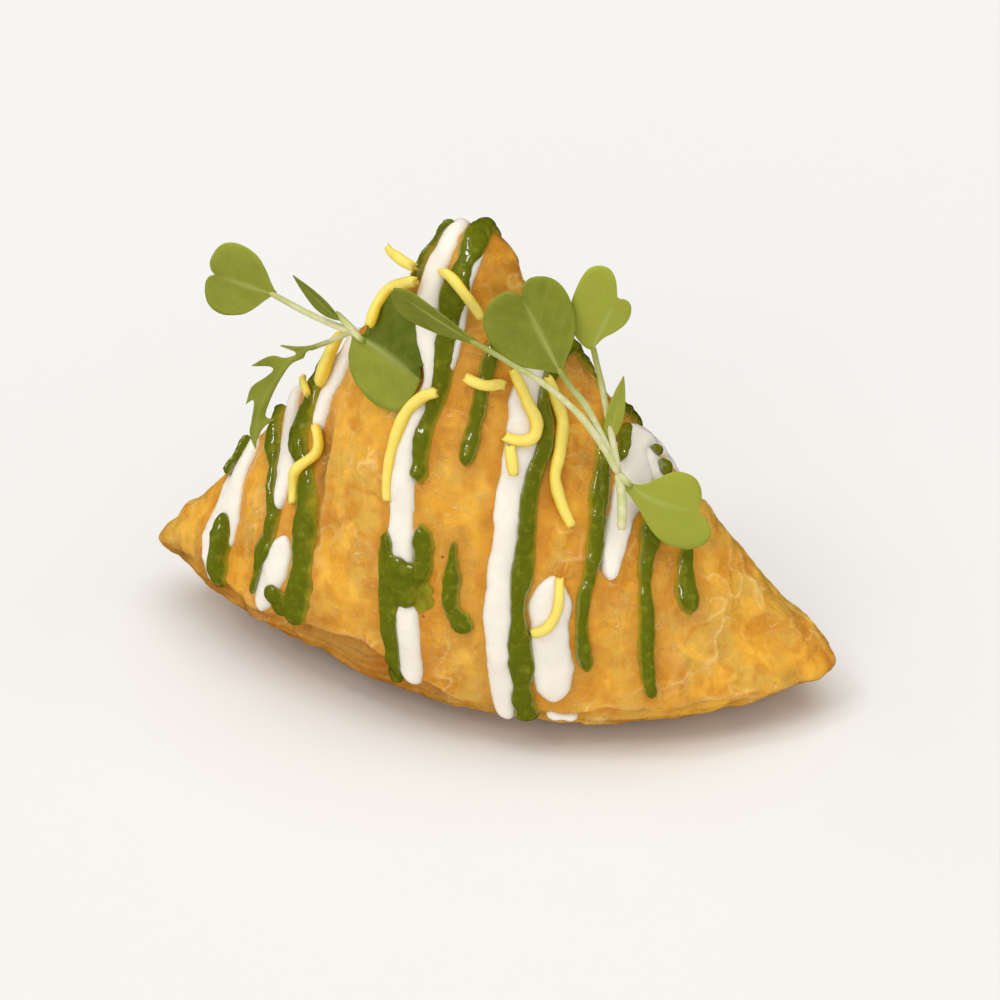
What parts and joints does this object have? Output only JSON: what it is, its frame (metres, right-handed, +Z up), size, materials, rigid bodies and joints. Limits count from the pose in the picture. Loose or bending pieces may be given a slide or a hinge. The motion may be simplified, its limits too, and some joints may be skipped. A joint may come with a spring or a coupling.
{
  "type": "samosa",
  "caption": "Uncut fried samosa standing on its base, with lines of yogurt and green chutney, fried gram noodles and cress sprigs on top.",
  "frame": {"origin": "the middle of the flat patch of the base that it rests on, at table height", "axes": "+Z up, X from corner to corner, -Y out of the front face, which carries the garnish"},
  "size_m": [0.1015, 0.0497, 0.0689],
  "materials": {
    "crust": "fried pastry, golden brown, blistered, with a thin film of oil",
    "yogurt": "thick plain yogurt, smooth and wet",
    "chutney": "smooth herb chutney, wet",
    "noodle": "fried gram flour noodle, dry and slightly translucent",
    "sprig": "fresh leaf, satin, with pale stalks"
  },
  "bodies": {
    "root": {"crust": "crust", "yogurt_1": "yogurt", "yogurt_2": "yogurt", "yogurt_3": "yogurt", "yogurt_4": "yogurt", "yogurt_5": "yogurt", "yogurt_6": "yogurt", "yogurt_7": "yogurt", "yogurt_8": "yogurt", "chutney_1": "chutney", "chutney_2": "chutney", "chutney_3": "chutney", "chutney_4": "chutney", "chutney_5": "chutney", "chutney_6": "chutney", "chutney_7": "chutney", "chutney_8": "chutney", "chutney_9": "chutney", "chutney_10": "chutney", "chutney_11": "chutney", "chutney_12": "chutney", "chutney_13": "chutney", "noodle_1": "noodle", "noodle_2": "noodle", "noodle_3": "noodle", "noodle_4": "noodle", "noodle_5": "noodle", "noodle_6": "noodle", "noodle_7": "noodle", "noodle_8": "noodle", "noodle_9": "noodle", "noodle_10": "noodle", "noodle_11": "noodle", "noodle_12": "noodle", "sprig_left": "sprig", "sprig_right": "sprig"}
  },
  "joints": []
}
